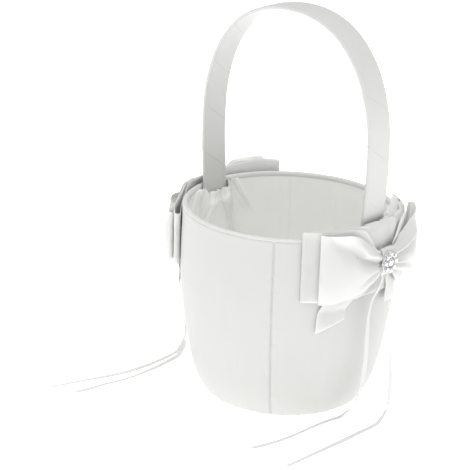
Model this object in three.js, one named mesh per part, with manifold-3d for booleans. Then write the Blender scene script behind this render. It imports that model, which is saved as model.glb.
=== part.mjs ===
// Flower girl basket: a round satin-covered bucket with an arched handle,
// a ribbon bow with a small cluster of stones on each side, and two thin
// hanging ribbons under each bow.
// Units are millimetres, +Z up. The origin is the centre of the underside.
// +X points to the right foot of the handle, -Y is the front of the basket.
import * as THREE from 'three';
import { mergeVertices } from 'three/addons/utils/BufferGeometryUtils.js';
import Module from 'manifold-3d';

// ---------------------------------------------------------------- dimensions
const RIM_Z = 128.9;            // height of the rim
const RIM_R = 70.0;             // outer radius at the rim
// outer surface of the satin cover, radius and height, from the base up
const PROFILE = [
  [49.6, 0.45], [52.7, 2.6], [55.3, 6.4], [60.2, 16.8], [65.4, 41], [69.9, 72], [70.8, 95], [70.0, 126.2],
];
const SEG = 48;                 // facets round the body
const GAP = 0.3;                // clearance between touching pieces
const COVER_T = 0.5;            // satin and its backing
const FOAM_IN = 0.8, FOAM_T = 0.7;
const BUCKET_IN = 1.8, BUCKET_T = 1.0;
const LINING_IN = 3.1, LINING_T = 0.4;
const BASE_DISC_R = 48.8, BASE_DISC_T = 1.2;
const BUCKET_FLOOR_Z = 1.6, BUCKET_FLOOR_T = 1.2;
const FLOOR_PAD_R = 48.4, FLOOR_PAD_T = 1.2;

const HANDLE_W = 22.6;          // width of the wrapped handle along Y
const HANDLE_T = 2.6;           // thickness of the wrapped handle
const WRAP_T = 0.4;
const HANDLE_TOP = 260.3;       // outer height of the arch
const SPRING_Z = 173.5;         // where the arch begins
const ARCH_HALF = 67.0;         // half span of the arch at its centreline
const ARCH_N = 2.26;            // superellipse exponent of the arch
const FOOT_X = 64.55;           // centreline of the foot inside the rim
const FOOT_Z = 84.0;            // lowest point of the foot

const RIVET_Z = [96, 113];      // two rivets in each foot
const RIVET_SHANK_R = 1.6, RIVET_HEAD_R = 3.2;

const RIBBON_W = 46;            // wide satin ribbon
const RIBBON_T = 0.4;
const BOW_Z = 109;              // height of the knot
const UNDER_ANG = 46;           // loops of the flat bow end here, in degrees
const UPPER_ANG = 38;           // loops of the puffed bow end here
const KNOT_H = 17.2;            // height of the knot band
const KNOT_W = 12.5;            // its width along Y

const ORN_R = 7.8;              // radius of the stone setting
const ORN_X = 79.4;             // its back face
const ORN_T = 2.0;
const STONE_C_R = 2.6, STONE_R = 1.85, STONE_RING = 5.4, STONE_N = 8;

const CORD_D = 3.0;             // thin ribbon, 3 mm wide

// ---------------------------------------------------------------- colours
const mat = (hex, rough, metal = 0) => new THREE.MeshStandardMaterial({ color: hex, roughness: rough, metalness: metal });
const SATIN = 0xf2f1ec, LINING = 0xeeece6, BOARD = 0xe9e6dd, FOAM = 0xf3f2ee, PLASTIC = 0xdfe0dd;

// ---------------------------------------------------------------- helpers
const wasm = await Module();
wasm.setup();

// merge shared corners and turn the faces outwards
function closed(geometry) {
  let g = geometry.clone();
  g.deleteAttribute('normal');
  g.deleteAttribute('uv');
  g = mergeVertices(g, 1e-4);
  const p = g.attributes.position, idx = Array.from(g.index.array);
  const tri = [];
  for (let i = 0; i < idx.length; i += 3) {
    const [a, b, c] = [idx[i], idx[i + 1], idx[i + 2]];
    if (a !== b && b !== c && a !== c) tri.push(a, b, c);
  }
  let vol = 0;
  const A = new THREE.Vector3(), B = new THREE.Vector3(), C = new THREE.Vector3();
  for (let i = 0; i < tri.length; i += 3) {
    A.fromBufferAttribute(p, tri[i]); B.fromBufferAttribute(p, tri[i + 1]); C.fromBufferAttribute(p, tri[i + 2]);
    vol += A.dot(B.cross(C));
  }
  if (vol < 0) for (let i = 0; i < tri.length; i += 3) { const t = tri[i + 1]; tri[i + 1] = tri[i + 2]; tri[i + 2] = t; }
  g.setIndex(tri);
  return g;
}
function toSolid(geometry) {
  const g = closed(geometry);
  return new wasm.Manifold(new wasm.Mesh({
    numProp: 3,
    vertProperties: new Float32Array(g.attributes.position.array),
    triVerts: new Uint32Array(g.index.array),
  }));
}
function fromSolid(solid) {
  const m = solid.getMesh();
  const g = new THREE.BufferGeometry();
  g.setAttribute('position', new THREE.BufferAttribute(new Float32Array(m.vertProperties), 3));
  g.setIndex(Array.from(m.triVerts));
  return g;
}
// revolve [radius, height] points about Z
function revolve(points, segments = SEG) {
  const g = new THREE.LatheGeometry(points.map(([r, z]) => new THREE.Vector2(r, z)), segments);
  g.rotateX(Math.PI / 2);
  return g;
}
// the outer profile moved inwards by d along its normals
function inset(d, from = 0) {
  const out = [];
  for (let i = from; i < PROFILE.length; i++) {
    const a = PROFILE[Math.max(i - 1, 0)], b = PROFILE[Math.min(i + 1, PROFILE.length - 1)];
    const tx = b[0] - a[0], tz = b[1] - a[1], l = Math.hypot(tx, tz);
    out.push([PROFILE[i][0] - d * tz / l, PROFILE[i][1] + d * tx / l]);
  }
  out[out.length - 1][1] = PROFILE[PROFILE.length - 1][1];
  return out;
}
// closed ring between two insets
function skin(d0, d1, from, top = null) {
  const outer = inset(d0, from), inner = inset(d1, from);
  if (top !== null) { outer[outer.length - 1][1] = top; inner[inner.length - 1][1] = top; }
  return revolve([...outer, ...inner.reverse(), outer[0]]);
}
// upright prism over a sector from angle a0 to a1, in degrees, for cutting panels
function sector(a0, a1, z0, z1, r = 120) {
  const s = new THREE.Shape();
  s.moveTo(0, 0);
  const n = 10;
  for (let i = 0; i <= n; i++) {
    const a = THREE.MathUtils.degToRad(a0 + (a1 - a0) * i / n);
    s.lineTo(r * Math.cos(a), r * Math.sin(a));
  }
  s.closePath();
  const g = new THREE.ExtrudeGeometry(s, { depth: z1 - z0, bevelEnabled: false });
  g.translate(0, 0, z0);
  return g;
}
function block(x0, x1, y0, y1, z0, z1) {
  const g = new THREE.BoxGeometry(x1 - x0, y1 - y0, z1 - z0);
  g.translate((x0 + x1) / 2, (y0 + y1) / 2, (z0 + z1) / 2);
  return g;
}
// disc or rod along X between x0 and x1
function rodX(r, x0, x1, y, z, n = 24) {
  const g = new THREE.CylinderGeometry(r, r, x1 - x0, n);
  g.rotateZ(-Math.PI / 2);
  g.translate((x0 + x1) / 2, y, z);
  return g;
}
const mirrorX = (geometry) => { const g = geometry.clone(); g.scale(-1, 1, 1); return closed(g); };

const basket = new THREE.Group();
basket.name = 'flower_girl_basket';
function add(parent, name, geometry, material) {
  const m = new THREE.Mesh(closed(geometry), material);
  m.name = name;
  parent.add(m);
  return m;
}

// ---------------------------------------------------------------- handle line
// centreline of the handle in the XZ plane, right foot to left foot
function handleLine() {
  const leg = [];
  const n = 10, z0 = FOOT_Z, z1 = SPRING_Z;
  // slope rises just under the rim and fades out at the spring line
  const slope = (z) => {
    const a = THREE.MathUtils.smoothstep(z, 119, 136);
    return a * (SPRING_Z - z);
  };
  const fine = 480;
  let total = 0;
  for (let i = 0; i < fine; i++) total += slope(z0 + (i + 0.5) * (z1 - z0) / fine);
  const k = (ARCH_HALF - FOOT_X) / total;
  let x = FOOT_X, j = 0;
  for (let i = 0; i <= n; i++) {
    const z = z0 + (z1 - z0) * i / n;
    while (j < fine * i / n) { x += k * slope(z0 + (j + 0.5) * (z1 - z0) / fine); j++; }
    leg.push([x, z]);
  }
  const arch = [];
  const na = 28, top = HANDLE_TOP - HANDLE_T / 2 - SPRING_Z;
  for (let i = 1; i < na; i++) {
    const t = Math.PI * i / na, c = Math.cos(t), s = Math.sin(t);
    arch.push([ARCH_HALF * Math.sign(c) * Math.pow(Math.abs(c), 2 / ARCH_N), SPRING_Z + top * Math.pow(s, 2 / ARCH_N)]);
  }
  return [...leg, ...arch, ...leg.map(([a, b]) => [-a, b]).reverse()];
}
const LINE = handleLine();
// band of given thickness and width on that line
function handleBand(thickness, width, lift = 0) {
  const n = LINE.length, out = [], inn = [];
  for (let i = 0; i < n; i++) {
    const a = LINE[Math.max(i - 1, 0)], b = LINE[Math.min(i + 1, n - 1)];
    const tx = b[0] - a[0], tz = b[1] - a[1], l = Math.hypot(tx, tz);
    let [x, z] = LINE[i];
    if (i === 0 || i === n - 1) z += lift;
    out.push([x + thickness / 2 * tz / l, z - thickness / 2 * tx / l]);
    inn.push([x - thickness / 2 * tz / l, z + thickness / 2 * tx / l]);
  }
  const s = new THREE.Shape([...out, ...inn.reverse()].map(([x, z]) => new THREE.Vector2(x, z)));
  const g = new THREE.ExtrudeGeometry(s, { depth: width, bevelEnabled: false });
  g.rotateX(Math.PI / 2);
  g.translate(0, width / 2, 0);
  return g;
}

// ---------------------------------------------------------------- body
const body = new THREE.Group();
basket.add(body);

add(body, 'base_disc', revolve([[0, 0], [BASE_DISC_R - 0.4, 0], [BASE_DISC_R, 0.4], [BASE_DISC_R - 0.2, BASE_DISC_T], [0, BASE_DISC_T]]), mat(BOARD, 0.8));

const rivets = [];
const shankHoles = [], foamHoles = [];
for (const z of RIVET_Z) {
  shankHoles.push(toSolid(rodX(RIVET_SHANK_R + GAP, 58, 69.3, 0, z, 12)));
  foamHoles.push(toSolid(rodX(RIVET_HEAD_R + GAP, 68.3, 69.45, 0, z, 12)));
}
const flip = (solid) => toSolid(mirrorX(fromSolid(solid)));
const cutBoth = (solid, tools) => {
  let s = solid;
  for (const t of tools) s = s.subtract(t).subtract(flip(t));
  return s;
};

// one moulded bucket: thin wall and floor
{
  const o = inset(BUCKET_IN, 2), i = inset(BUCKET_IN + BUCKET_T, 2);
  const pts = [[0, BUCKET_FLOOR_Z], [49.2, BUCKET_FLOOR_Z], ...o, ...i.reverse(), [48.6, BUCKET_FLOOR_Z + BUCKET_FLOOR_T], [0, BUCKET_FLOOR_Z + BUCKET_FLOOR_T]];
  add(body, 'moulded_bucket', fromSolid(cutBoth(toSolid(revolve(pts)), shankHoles)), mat(PLASTIC, 0.5));
}
// thin foam between the bucket and the satin
add(body, 'foam_wrap', fromSolid(cutBoth(toSolid(skin(FOAM_IN, FOAM_IN + FOAM_T, 2)), foamHoles)), mat(FOAM, 0.95));

// satin cover sewn from four panels
const COVER_SEAMS = [-60, 30, 120, 210];
{
  const ring = toSolid(skin(0, COVER_T, 0));
  const names = ['cover_panel_front_right', 'cover_panel_back_right', 'cover_panel_back_left', 'cover_panel_front_left'];
  const d = 0.22;
  names.forEach((name, k) => {
    const cut = toSolid(sector(COVER_SEAMS[k] + d, COVER_SEAMS[k] + 90 - d, -5, 140));
    add(body, name, fromSolid(ring.intersect(cut)), mat(SATIN, 0.42));
  });
}

// lining in two halves, each with a pocket over one foot of the handle
{
  const ring = toSolid(skin(LINING_IN, LINING_IN + LINING_T, 2, 125.9));
  const rimCylinder = toSolid(revolve([[0, 40], [66.9, 40], [66.9, 124.2], [0, 124.2]]));
  const pocket = toSolid(block(61.2, 69, -12.7, 12.7, 79.6, 123.5)).intersect(rimCylinder);
  const cavity = toSolid(block(61.6, 69, -12.3, 12.3, 80.0, 131));
  const whole = ring.add(pocket).add(flip(pocket)).subtract(cavity).subtract(flip(cavity));
  const d = 0.22;
  add(body, 'lining_front_right', fromSolid(whole.intersect(toSolid(sector(-52.5 + d, 127.5 - d, -5, 140)))), mat(LINING, 0.5));
  add(body, 'lining_back_left', fromSolid(whole.intersect(toSolid(sector(127.5 + d, 307.5 - d, -5, 140)))), mat(LINING, 0.5));
}
add(body, 'lining_floor', revolve([[0, 3.1], [FLOOR_PAD_R - 0.8, 3.1], [FLOOR_PAD_R, 3.7], [FLOOR_PAD_R, 3.1 + FLOOR_PAD_T], [0, 3.1 + FLOOR_PAD_T]]), mat(LINING, 0.5));

// folded binding on the rim, notched where the handle passes
{
  const ring = toSolid(revolve([
    [66.5, 126.5], [70.05, 126.5], [70.1, 127.8], [69.2, RIM_Z], [67.3, RIM_Z], [66.4, 127.8], [66.5, 126.5],
  ]));
  const notch = toSolid(block(55, FOOT_X + HANDLE_T / 2 + 0.55, -HANDLE_W / 2 - 0.4, HANDLE_W / 2 + 0.4, 120, 135));
  add(body, 'rim_binding', fromSolid(ring.subtract(notch).subtract(flip(notch))), mat(SATIN, 0.42));
}

// ---------------------------------------------------------------- handle
const handle = new THREE.Group();
basket.add(handle);
{
  const outer = toSolid(handleBand(HANDLE_T, HANDLE_W));
  const bore = toSolid(handleBand(HANDLE_T - 2 * WRAP_T, HANDLE_W - 2 * WRAP_T, -4));
  const core = toSolid(handleBand(HANDLE_T - 2 * WRAP_T - 0.6, HANDLE_W - 2 * WRAP_T - 0.6, 0.6));
  add(handle, 'handle_core', fromSolid(cutBoth(core, shankHoles)), mat(PLASTIC, 0.5));
  add(handle, 'handle_wrap', fromSolid(cutBoth(outer.subtract(bore), shankHoles)), mat(SATIN, 0.42));
}
// rivets: head inside the foot, shank through the wall, head under the foam's hole
RIVET_Z.forEach((z, k) => {
  const x0 = FOOT_X - HANDLE_T / 2 - GAP, x1 = RIM_R - BUCKET_IN + 0.75;
  const zr = (h) => h;
  const pts = [[0, x0 - 0.9], [RIVET_HEAD_R - 0.6, x0 - 0.9], [RIVET_HEAD_R, x0 - 0.4], [RIVET_HEAD_R, x0], [RIVET_SHANK_R, x0],
    [RIVET_SHANK_R, x1], [RIVET_HEAD_R - 0.2, x1], [RIVET_HEAD_R - 0.2, x1 + 0.35], [0, x1 + 0.35]].map(([r, h]) => new THREE.Vector2(r, zr(h)));
  const g = new THREE.LatheGeometry(pts, 12);
  g.rotateZ(-Math.PI / 2);
  g.translate(0, 0, z);
  const tag = k === 0 ? 'lower' : 'upper';
  add(handle, `handle_rivet_right_${tag}`, g, mat(0xc9cacb, 0.35, 1));
  add(handle, `handle_rivet_left_${tag}`, mirrorX(closed(g)), mat(0xc9cacb, 0.35, 1));
});

// ---------------------------------------------------------------- bows
// a ribbon laid on a grid: at(u, v) gives the middle point and out(u, v) the way its thickness goes
function ribbon(nu, nv, thickness, at, out) {
  const g = closed(new THREE.BoxGeometry(1, 1, 1, nu, nv, 1));
  const p = g.attributes.position;
  for (let i = 0; i < p.count; i++) {
    const u = p.getX(i) + 0.5, v = p.getY(i) + 0.5, w = p.getZ(i);
    const m = at(u, v), o = out(u, v);
    p.setXYZ(i, m.x + o.x * w * thickness, m.y + o.y * w * thickness, m.z + o.z * w * thickness);
  }
  return closed(g);
}
const polar = (deg, r, z = 0) => new THREE.Vector3(r * Math.cos(THREE.MathUtils.degToRad(deg)), r * Math.sin(THREE.MathUtils.degToRad(deg)), z);

// plan of one double loop: from the knot along the back layer to the front (-Y) fold,
// back on the outer layer, across the knot, to the rear (+Y) fold and home
function loopPlan(backX, frontX, back, fold, front) {
  const half = [];
  half.push(new THREE.Vector3(backX, -1.2, 0));
  for (const [a, r] of back) half.push(polar(-a, r));
  for (const [a, r] of fold) half.push(polar(-a, r));
  for (const [a, r] of front) half.push(polar(-a, r));
  const other = half.map((q) => new THREE.Vector3(q.x, -q.y, 0)).reverse();
  return new THREE.CatmullRomCurve3([...half, new THREE.Vector3(frontX, 0, 0), ...other], false, 'centripetal');
}
function bowLoops(curve, steps, pinchFrom, pinchTo, knotHalf) {
  const pts = curve.getSpacedPoints(240);
  const L = pts.length - 1;
  const pos = (u) => { const f = u * L, i = Math.min(Math.floor(f), L - 1); return pts[i].clone().lerp(pts[i + 1], f - i); };
  const nor = (u) => {
    const a = pos(Math.max(u - 0.006, 0)), b = pos(Math.min(u + 0.006, 1));
    return new THREE.Vector3(b.y - a.y, -(b.x - a.x), 0).normalize();
  };
  // the upper ribbon is gathered to the knot's height in the middle and full width at the folds
  const half = (u) => {
    const y = Math.abs(pos(u).y);
    return knotHalf + (RIBBON_W / 2 - knotHalf) * THREE.MathUtils.smoothstep(y, pinchFrom, pinchTo);
  };
  const centre = (u) => BOW_Z + 2.0 * THREE.MathUtils.smoothstep(Math.abs(pos(u).y), pinchFrom, pinchTo);
  return ribbon(steps, 2, RIBBON_T,
    (u, v) => { const q = pos(u); q.z = centre(u) + (v - 0.5) * 2 * half(u); return q; },
    (u) => nor(u));
}
const underCurve = loopPlan(71.9, 73.0,
  [[5, 71.8], [10, 71.8], [20, 71.8], [34, 71.8], [42, 71.9]],
  [[UNDER_ANG - 0.7, 72.0], [UNDER_ANG, 72.5], [UNDER_ANG - 0.7, 73.05]],
  [[42, 73.1], [34, 73.2], [20, 73.3], [10, 73.2], [5, 73.1]]);
const upperCurve = loopPlan(76.4, 77.9,
  [[4.6, 76.5], [9, 76.1], [16, 75.9], [26, 75.9], [34, 76.0]],
  [[UPPER_ANG - 1.2, 76.5], [UPPER_ANG, 78.3], [UPPER_ANG - 1.2, 80.4]],
  [[33, 82.4], [26, 83.4], [19, 83.2], [12, 81.2], [8, 79.5], [4.6, 78.2]]);
// the under ribbon isn't pinched: it lies flat behind the knot
const underBow = bowLoops(underCurve, 44, -2, -1, 7.4);
const upperBow = bowLoops(upperCurve, 46, 6.5, 24, 7.4);

// wide tails: one ribbon through the knot, a long tail to the front and a short one to the rear.
// edges are given as arc length round the body and height.
function tails() {
  const line = (pts) => {
    const c = new THREE.CatmullRomCurve3(pts.map(([s, z]) => new THREE.Vector3(s, z, 0)), false, 'centripetal');
    return (t) => c.getPoint(Math.min(Math.max(t, 0), 1));
  };
  const frontTop = line([[0, 115.5], [-6.6, 114], [-22, 105], [-38, 94], [-46.5, 82], [-48.3, 66]]);
  const frontLow = line([[0, 102.6], [-6.8, 102.2], [-15, 95.5], [-23, 88], [-27, 82], [-28, 74]]);
  const rearTop = line([[0, 115.5], [6.6, 113], [13, 105], [17.5, 95], [19.5, 86], [20, 77.5]]);
  const rearLow = line([[0, 102.6], [6.6, 102.0], [7.6, 96], [7.0, 90], [6.4, 84], [6.0, 79]]);
  const spot = (u, v) => {
    const t = Math.abs(u - 0.55) / (u < 0.55 ? 0.55 : 0.45);
    const lo = u < 0.55 ? frontLow(t) : rearLow(t), hi = u < 0.55 ? frontTop(t) : rearTop(t);
    return lo.lerp(hi, v);
  };
  const radius = (q) => q.x > 0 ? 74.15 : THREE.MathUtils.lerp(72.3, 74.15, THREE.MathUtils.smoothstep(q.y, 81.5, 87.0));
  return ribbon(20, 3, RIBBON_T,
    (u, v) => { const q = spot(u, v); return polar(THREE.MathUtils.radToDeg(q.x / 74.0), radius(q), q.y); },
    (u, v) => { const q = spot(u, v); return polar(THREE.MathUtils.radToDeg(q.x / 74.0), 1, 0); });
}
const tailRibbon = tails();

// band round the middle of the bow
const knotBand = (() => {
  const h = KNOT_H / 2, w = KNOT_W / 2;
  const outer = toSolid(block(74.65, 79.1, -w, w, BOW_Z - h, BOW_Z + h));
  const inner = toSolid(block(75.15, 78.6, -w - 3, w + 3, BOW_Z - h + 0.5, BOW_Z + h - 0.5));
  return fromSolid(outer.subtract(inner));
})();

// setting and stones
const stoneSpots = [[0, 0, STONE_C_R]];
for (let k = 0; k < STONE_N; k++) {
  const a = 2 * Math.PI * k / STONE_N;
  stoneSpots.push([STONE_RING * Math.cos(a), STONE_RING * Math.sin(a), STONE_R]);
}
const setting = (() => {
  let s = toSolid(rodX(ORN_R, ORN_X, ORN_X + ORN_T, 0, BOW_Z, 24));
  for (const [y, z, r] of stoneSpots) s = s.subtract(toSolid(rodX(r + 0.12, ORN_X + 0.9, ORN_X + ORN_T + 1, y, BOW_Z + z, 8)));
  return fromSolid(s);
})();
// a stone: eight-sided with a flat table, its girdle just above the setting
function stone(y, z, r) {
  const x0 = ORN_X + 1.2;
  const g = new THREE.LatheGeometry([[0, x0], [r - 0.18, x0 + 0.9], [r * 0.6, x0 + 1.0 + 0.42 * r], [0, x0 + 1.0 + 0.42 * r]]
    .map(([a, b]) => new THREE.Vector2(a, b)), 8);
  g.rotateZ(-Math.PI / 2);
  g.translate(0, y, BOW_Z + z);
  return g;
}

// thin ribbons: each leaves the knot, hangs, and lies on the table in front
const CORD_Z = CORD_D / 2 + 0.12;
const CORDS = {
  right_outer: [[77.2, 2.1, 99.9], [78.2, 2.2, 92], [79.6, 2.2, 82], [81.6, 2.1, 66], [83.6, 2.0, 50], [85.4, 1.6, 34], [86.3, 0.6, 20], [86.0, -1.6, 9],
    [84.8, -6.6, 3.0], [83.9, -14, CORD_Z], [83.3, -25.7, CORD_Z], [82.9, -38, CORD_Z], [82.2, -50.8, CORD_Z], [81.4, -63, CORD_Z], [80.6, -75.6, CORD_Z], [79.9, -86, CORD_Z], [79.2, -95.9, CORD_Z]],
  right_inner: [[77.2, -2.1, 99.6], [77.4, -3.0, 96.6], [78.0, -6.8, 92.3], [77.2, -11.2, 86.5], [76.2, -12.9, 78], [75.9, -13.3, 64], [75.9, -13.3, 48], [74.4, -13.1, 32], [71.2, -12.8, 18],
    [66.2, -12.8, 7.5], [61.6, -15.4, 2.6], [58.9, -22, CORD_Z], [57.3, -32, CORD_Z], [56.5, -42, CORD_Z], [55.7, -54, CORD_Z], [54.6, -65, CORD_Z], [52.2, -77, CORD_Z], [47.8, -91.2, CORD_Z]],
  left_outer: [[-77.2, 2.1, 99.9], [-78.3, 2.2, 92], [-80.0, 2.3, 82], [-82.6, 2.4, 64], [-85.2, 2.6, 46], [-87.6, 2.8, 30], [-88.9, 2.4, 16], [-88.6, -0.4, 6.6],
    [-87.8, -7.0, 2.4], [-87.2, -15, CORD_Z], [-86.5, -30.7, CORD_Z], [-87.0, -43, CORD_Z], [-88.7, -55.5, CORD_Z], [-91.0, -65, CORD_Z], [-94.2, -74.4, CORD_Z], [-101.1, -91.4, CORD_Z], [-107.7, -110.3, CORD_Z]],
  left_inner: [[-77.2, -2.1, 99.9], [-77.9, -2.3, 92], [-78.8, -2.6, 82], [-80.2, -2.9, 64], [-81.8, -3.0, 46], [-83.2, -3.0, 30], [-83.9, -3.2, 16], [-83.4, -6.0, 6.4],
    [-82.4, -12.6, 2.3], [-81.4, -22.6, CORD_Z], [-80.2, -37.7, CORD_Z], [-80.2, -50, CORD_Z], [-81.1, -63.7, CORD_Z], [-83.2, -74, CORD_Z], [-85.6, -83.4, CORD_Z], [-87.7, -95.7, CORD_Z], [-90.4, -106.1, CORD_Z]],
};
function cord(points) {
  const curve = new THREE.CatmullRomCurve3(points.map((q) => new THREE.Vector3(...q)), false, 'centripetal');
  const s = new THREE.Shape();
  for (let i = 0; i < 8; i++) {
    const a = Math.PI * (i + 0.5) / 4, r = CORD_D / 2;
    if (i === 0) s.moveTo(r * Math.cos(a), r * Math.sin(a)); else s.lineTo(r * Math.cos(a), r * Math.sin(a));
  }
  s.closePath();
  return new THREE.ExtrudeGeometry(s, { steps: 28, bevelEnabled: false, extrudePath: curve });
}

for (const side of ['right', 'left']) {
  const group = new THREE.Group();
  basket.add(group);
  const turn = (g) => side === 'right' ? g : mirrorX(closed(g));
  add(group, `bow_under_ribbon_${side}`, turn(underBow), mat(SATIN, 0.38));
  add(group, `bow_upper_ribbon_${side}`, turn(upperBow), mat(SATIN, 0.38));
  add(group, `bow_tail_ribbon_${side}`, turn(tailRibbon), mat(SATIN, 0.38));
  add(group, `bow_knot_${side}`, turn(knotBand), mat(SATIN, 0.38));
  add(group, `stone_setting_${side}`, turn(setting), mat(0xc4c6c8, 0.25, 1));
  stoneSpots.forEach(([y, z, r], k) => {
    add(group, k === 0 ? `stone_${side}_centre` : `stone_${side}_${k}`, turn(stone(y, z, r)), mat(0xf4f6fa, 0.05));
  });
  for (const run of ['outer', 'inner']) add(group, `thin_ribbon_${side}_${run}`, cord(CORDS[`${side}_${run}`]), mat(SATIN, 0.38));
}

export default basket;
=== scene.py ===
# Looks of a satin flower girl basket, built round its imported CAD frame.
# All lengths in the helpers are millimetres; meshes are written in metres.
import bpy
import math
import numpy as np
from mathutils import Matrix, Vector


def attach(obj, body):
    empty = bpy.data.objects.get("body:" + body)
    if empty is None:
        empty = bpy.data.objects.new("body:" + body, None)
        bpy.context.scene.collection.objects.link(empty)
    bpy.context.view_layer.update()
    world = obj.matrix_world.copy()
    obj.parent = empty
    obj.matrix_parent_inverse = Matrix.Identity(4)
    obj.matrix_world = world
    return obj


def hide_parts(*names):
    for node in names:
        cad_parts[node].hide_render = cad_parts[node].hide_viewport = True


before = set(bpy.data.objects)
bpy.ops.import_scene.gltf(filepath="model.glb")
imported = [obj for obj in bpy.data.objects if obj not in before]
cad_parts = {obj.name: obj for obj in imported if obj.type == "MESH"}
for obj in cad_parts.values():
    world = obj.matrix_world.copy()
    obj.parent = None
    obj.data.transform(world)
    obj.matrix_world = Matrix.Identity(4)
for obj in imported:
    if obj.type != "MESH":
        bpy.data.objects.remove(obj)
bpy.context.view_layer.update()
sc = bpy.context.scene

# ------------------------------------------------------------------ camera
cam_data = bpy.data.cameras.new("camera")
cam_data.lens = 137.12
cam_data.sensor_width = 36.0
cam_data.sensor_fit = "HORIZONTAL"
cam_data.clip_start, cam_data.clip_end = 0.05, 100.0
cam = bpy.data.objects.new("camera", cam_data)
sc.collection.objects.link(cam)
_f = Vector((-0.59542, 0.73418, -0.32628)).normalized()
_r = Vector((0.76924, 0.63815, 0.03216)).normalized()
_u = _r.cross(_f).normalized()
_r = _f.cross(_u).normalized()
cam.matrix_world = Matrix(((_r.x, _u.x, -_f.x, 0.67238), (_r.y, _u.y, -_f.y, -0.88525), (_r.z, _u.z, -_f.z, 0.48944), (0, 0, 0, 1)))
sc.camera = cam

# ------------------------------------------------------------------ helpers
def sstep(x, a, b):
    t = np.clip((np.asarray(x, float) - a) / (b - a), 0, 1)
    return t * t * (3 - 2 * t)


def gauss(x, w):
    return np.exp(-(np.asarray(x, float) / w) ** 2)


def spline(pts, n, closed=False):
    """n points, evenly spaced by length, on a centripetal Catmull-Rom curve through pts."""
    p = np.asarray(pts, float)
    if closed:
        q = np.vstack([p[-1], p, p[0], p[1]])
    else:
        q = np.vstack([2 * p[0] - p[1], p, 2 * p[-1] - p[-2]])
    out = []
    for i in range(1, len(q) - 2):
        p0, p1, p2, p3 = q[i - 1:i + 3]
        t0 = 0.0
        t1 = t0 + max(np.linalg.norm(p1 - p0), 1e-6) ** 0.5
        t2 = t1 + max(np.linalg.norm(p2 - p1), 1e-6) ** 0.5
        t3 = t2 + max(np.linalg.norm(p3 - p2), 1e-6) ** 0.5
        t = np.linspace(t1, t2, 24, endpoint=False)[:, None]
        a1 = (t1 - t) / (t1 - t0) * p0 + (t - t0) / (t1 - t0) * p1
        a2 = (t2 - t) / (t2 - t1) * p1 + (t - t1) / (t2 - t1) * p2
        a3 = (t3 - t) / (t3 - t2) * p2 + (t - t2) / (t3 - t2) * p3
        b1 = (t2 - t) / (t2 - t0) * a1 + (t - t0) / (t2 - t0) * a2
        b2 = (t3 - t) / (t3 - t1) * a2 + (t - t1) / (t3 - t1) * a3
        out.append((t2 - t) / (t2 - t1) * b1 + (t - t1) / (t2 - t1) * b2)
    out = np.vstack(out + [q[-2][None]])
    s = np.concatenate([[0], np.cumsum(np.linalg.norm(np.diff(out, axis=0), axis=1))])
    g = np.linspace(0, s[-1], n)
    return np.stack([np.interp(g, s, out[:, k]) for k in range(out.shape[1])], 1)


def length_of(p):
    return float(np.linalg.norm(np.diff(np.asarray(p), axis=0), axis=1).sum())


def ripple(a, b, seed, waves=7, ka=(1, 6), kb=(0.02, 0.08)):
    """Smooth repeatable noise, about -1 to 1. a is an angle, so its wave numbers are whole."""
    rng = np.random.default_rng(int(seed * 10) + 7)
    out = np.zeros(np.broadcast(a, b).shape)
    for _ in range(waves):
        k = rng.integers(ka[0], ka[1] + 1)
        m = rng.uniform(*kb)
        out = out + np.sin(k * a + m * b + rng.uniform(0, 6.283)) * np.cos(m * 0.7 * b + rng.uniform(0, 6.283))
    return out / math.sqrt(waves)


def noise1(x, seed, scale):
    rng = np.random.default_rng(int(seed * 10) + 7)
    out = np.zeros(np.shape(x))
    for _ in range(6):
        out = out + np.sin(np.asarray(x) * rng.uniform(0.5, 1.6) / scale * 6.283 + rng.uniform(0, 6.283))
    return out / 2.6


def soften(a, n=3):
    for _ in range(n):
        a = np.concatenate([a[:1], (a[:-2] + 2 * a[1:-1] + a[2:]) / 4, a[-1:]])
    return a


def grid_normals(P, closed_u=False, closed_v=False):
    def diff(a, axis, closed):
        if closed:
            return np.roll(a, -1, axis) - np.roll(a, 1, axis)
        return np.gradient(a, axis=axis)
    n = np.cross(diff(P, 0, closed_u), diff(P, 1, closed_v))
    return n / np.maximum(np.linalg.norm(n, axis=2, keepdims=True), 1e-9)


def make(name, verts, faces, uvs=None, mat=None, smooth=True):
    me = bpy.data.meshes.new(name)
    me.from_pydata((np.asarray(verts) / 1000.0).tolist(), [], faces)
    if uvs is not None:
        layer = me.uv_layers.new(name="UVMap")
        idx = np.zeros(len(me.loops), np.int32)
        me.loops.foreach_get("vertex_index", idx)
        layer.data.foreach_set("uv", (np.asarray(uvs, np.float32)[idx] / 1000.0).ravel())
    me.update()
    if smooth:
        me.polygons.foreach_set("use_smooth", [True] * len(me.polygons))
    ob = bpy.data.objects.new(name, me)
    sc.collection.objects.link(ob)
    if mat is not None:
        me.materials.append(mat)
    return ob


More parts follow.
